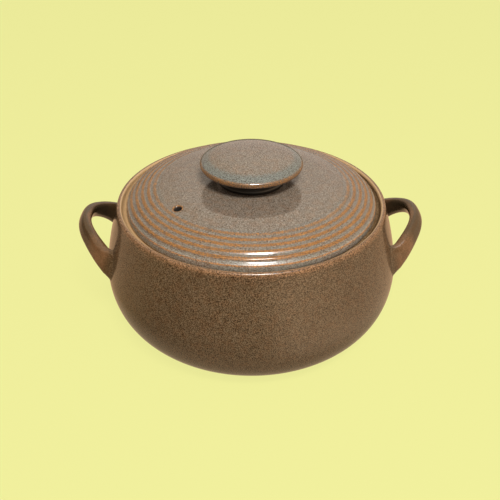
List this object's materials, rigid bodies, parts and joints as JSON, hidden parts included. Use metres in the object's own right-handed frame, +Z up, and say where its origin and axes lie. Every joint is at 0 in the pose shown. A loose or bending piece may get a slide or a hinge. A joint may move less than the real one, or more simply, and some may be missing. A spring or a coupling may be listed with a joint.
{
  "type": "casserole dish",
  "caption": "Round-bellied stoneware pot with looped side handles and a domed, ridged lid with a disc knob and steam vent.",
  "frame": {"origin": "on the pot's axis, on the plane that the foot ring stands on", "axes": "+Z up along the pot's axis, +X through the middle of one handle and out of it, +Y away from the viewer"},
  "size_m": [0.2688, 0.2296, 0.1399],
  "materials": {
    "pot_glaze": "olive-brown speckled stoneware glaze, glossy, breaking to orange-brown on the rim",
    "lid_glaze": "grey-brown speckled stoneware glaze, glossy, orange-brown on the ridges and grey-blue in the grooves"
  },
  "bodies": {
    "root": {"pot": "pot_glaze", "lid": "lid_glaze"}
  },
  "joints": []
}
